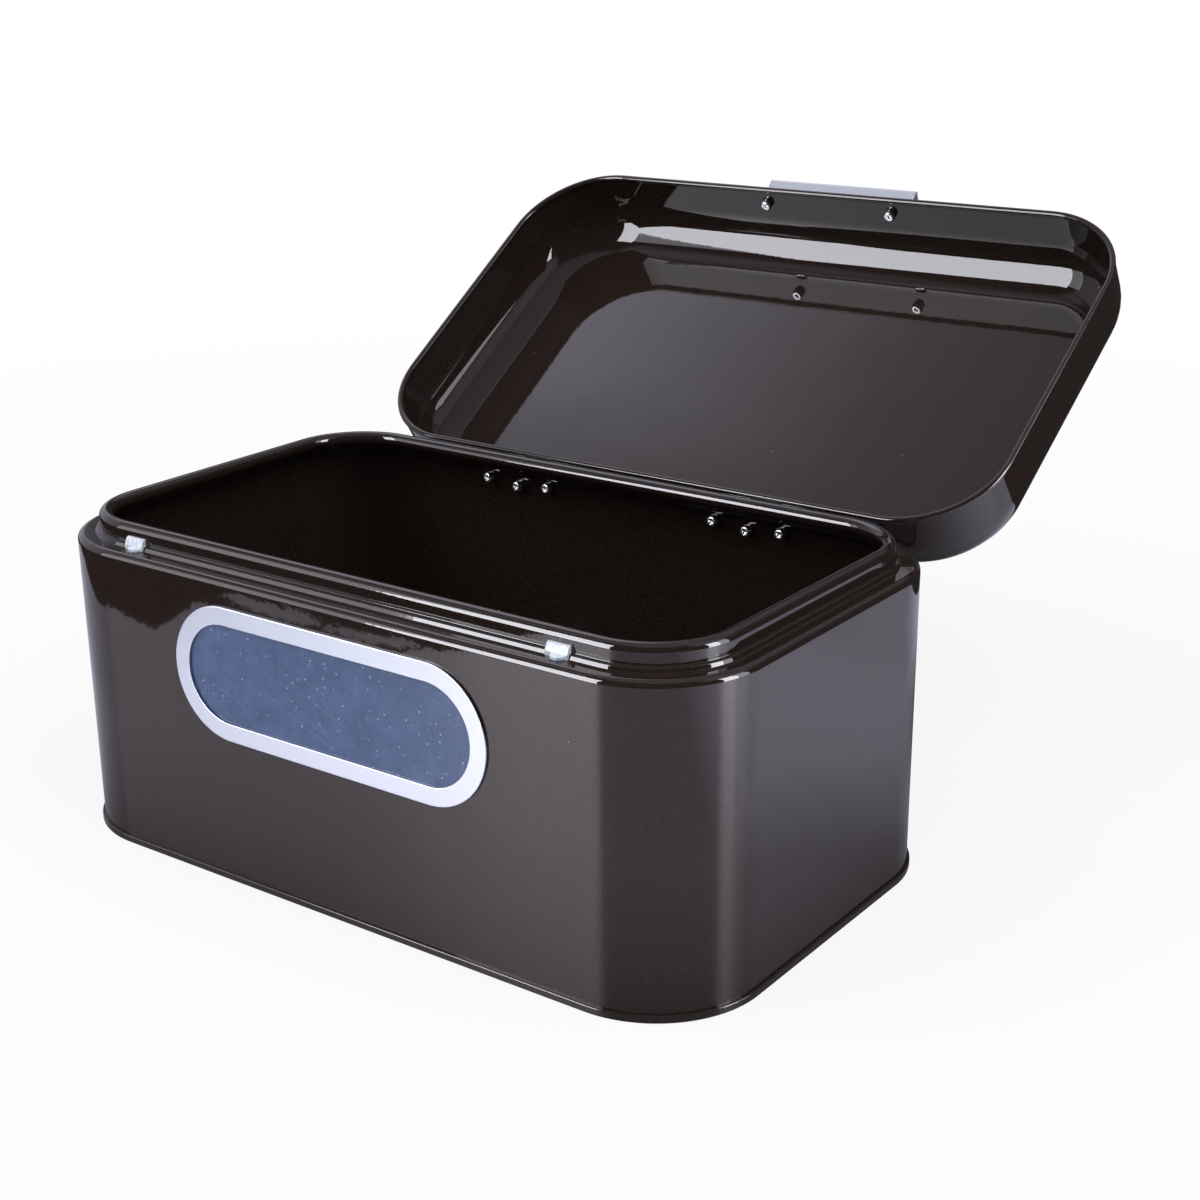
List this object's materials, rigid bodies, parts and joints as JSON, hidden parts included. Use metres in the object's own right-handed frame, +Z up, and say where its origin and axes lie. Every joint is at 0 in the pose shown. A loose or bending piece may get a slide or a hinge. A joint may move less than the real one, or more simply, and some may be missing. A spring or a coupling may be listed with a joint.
{
  "type": "bread bin",
  "caption": "Steel bread bin with a windowed front wall and a rolled mouth, and a deep domed lid with a bent-strip handle that opens on riveted butt hinges.",
  "frame": {"origin": "centre of the base, on the surface that the bin stands on", "axes": "+Z up; the windowed front faces -Y and the lid opens towards +Y; +X to the right seen from the front"},
  "size_m": [0.3324, 0.3899, 0.2423],
  "materials": {
    "black_enamel": "deep brown-black stove enamel, high gloss, on steel sheet",
    "polished_aluminium": "satin-polished",
    "blue_film_acrylic": "acrylic sheet under a blue film, finely scratched",
    "clamp_steel": "semi-gloss black",
    "brushed_stainless": "brushed along its length",
    "zinc_plated_steel": "bright zinc plate",
    "rivet_aluminium": "bright, as set",
    "clear_silicone": "translucent, soft"
  },
  "bodies": {
    "body": {"body_shell": "black_enamel", "base_pan": "black_enamel", "window_bezel": "polished_aluminium", "window_pane": "blue_film_acrylic", "window_clamp": "clamp_steel", "hinge_left_body_leaf": "zinc_plated_steel", "hinge_right_body_leaf": "zinc_plated_steel", "hinge_left_pin": "zinc_plated_steel", "hinge_right_pin": "zinc_plated_steel", "bumper_left": "clear_silicone", "bumper_right": "clear_silicone", "body_rivet_left_1": "rivet_aluminium", "body_rivet_left_2": "rivet_aluminium", "body_rivet_left_3": "rivet_aluminium", "body_rivet_right_1": "rivet_aluminium", "body_rivet_right_2": "rivet_aluminium", "body_rivet_right_3": "rivet_aluminium"},
    "lid": {"lid_shell": "black_enamel", "lid_handle": "brushed_stainless", "hinge_left_lid_leaf": "zinc_plated_steel", "hinge_right_lid_leaf": "zinc_plated_steel", "lid_rivet_left_1": "rivet_aluminium", "lid_rivet_left_2": "rivet_aluminium", "lid_rivet_left_3": "rivet_aluminium", "lid_rivet_right_1": "rivet_aluminium", "lid_rivet_right_2": "rivet_aluminium", "lid_rivet_right_3": "rivet_aluminium", "handle_rivet_left": "rivet_aluminium", "handle_rivet_right": "rivet_aluminium"}
  },
  "joints": [
    {"name": "lid_hinge", "type": "hinge", "parent": "body", "child": "lid", "pos_m": [0, 0.10305, 0.13115], "axis": [1, 0, 0], "range_deg": [0, 146.3]}
  ]
}
